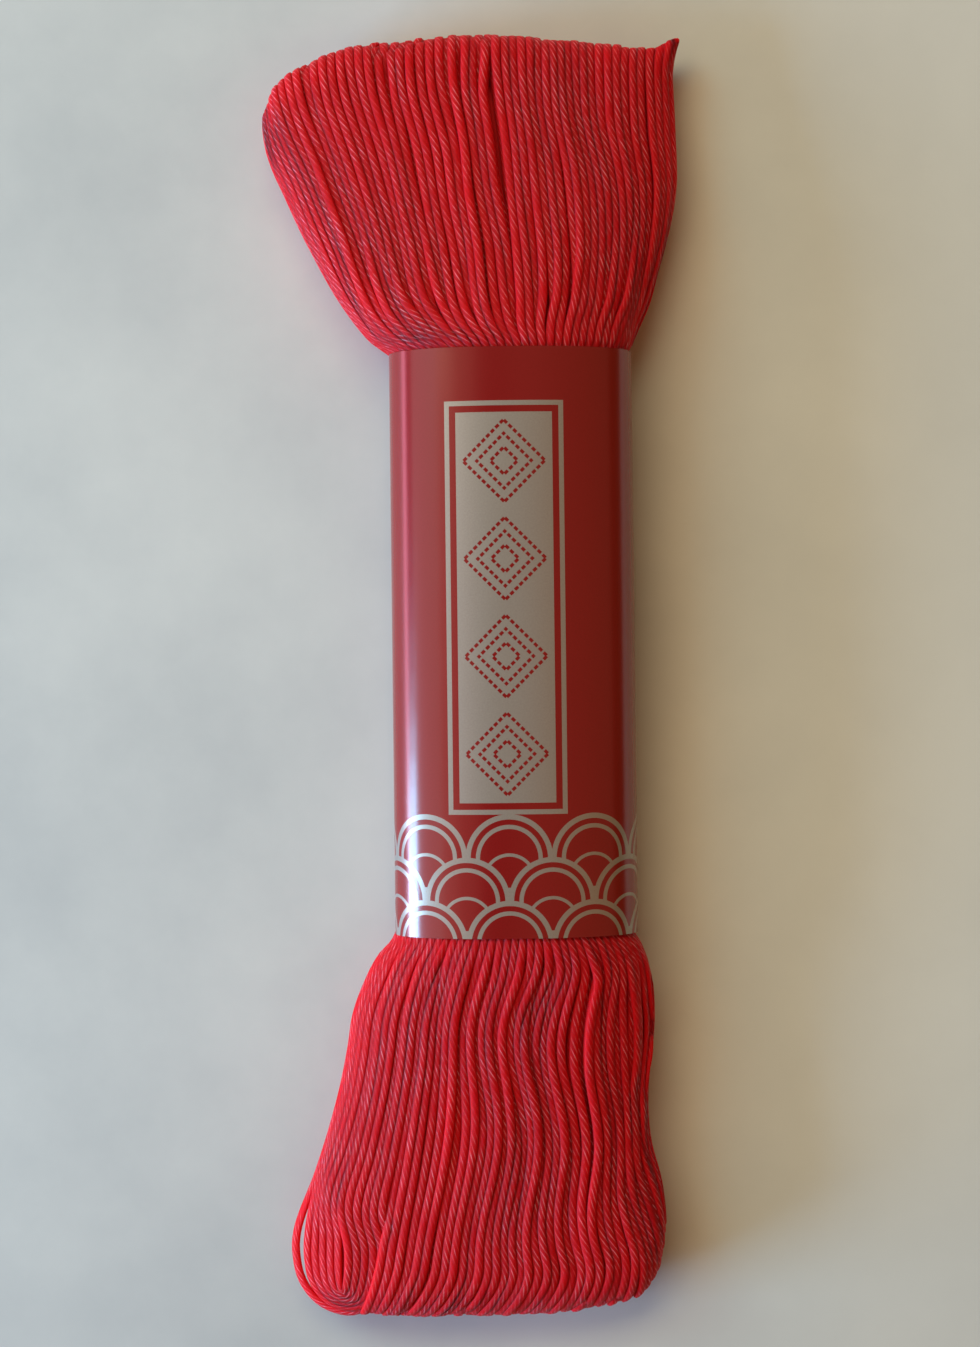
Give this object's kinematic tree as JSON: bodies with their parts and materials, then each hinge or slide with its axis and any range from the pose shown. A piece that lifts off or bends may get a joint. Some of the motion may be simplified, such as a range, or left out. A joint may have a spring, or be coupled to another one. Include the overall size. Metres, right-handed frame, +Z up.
{
  "type": "skein of sashiko thread",
  "caption": "Flat skein of red cotton sashiko thread with looped, spread ends, held round its waist by a wide printed paper band.",
  "frame": {"origin": "on the table, under the middle of the skein's bounding box", "axes": "+Y along the skein towards its wider end, +X to the right across it, +Z up out of its printed face"},
  "size_m": [0.0395, 0.1208, 0.011],
  "materials": {
    "thread": "matt red cotton",
    "paper": "glossy dark red print"
  },
  "bodies": {
    "root": {"skein": "thread", "paper_band": "paper"}
  },
  "joints": []
}
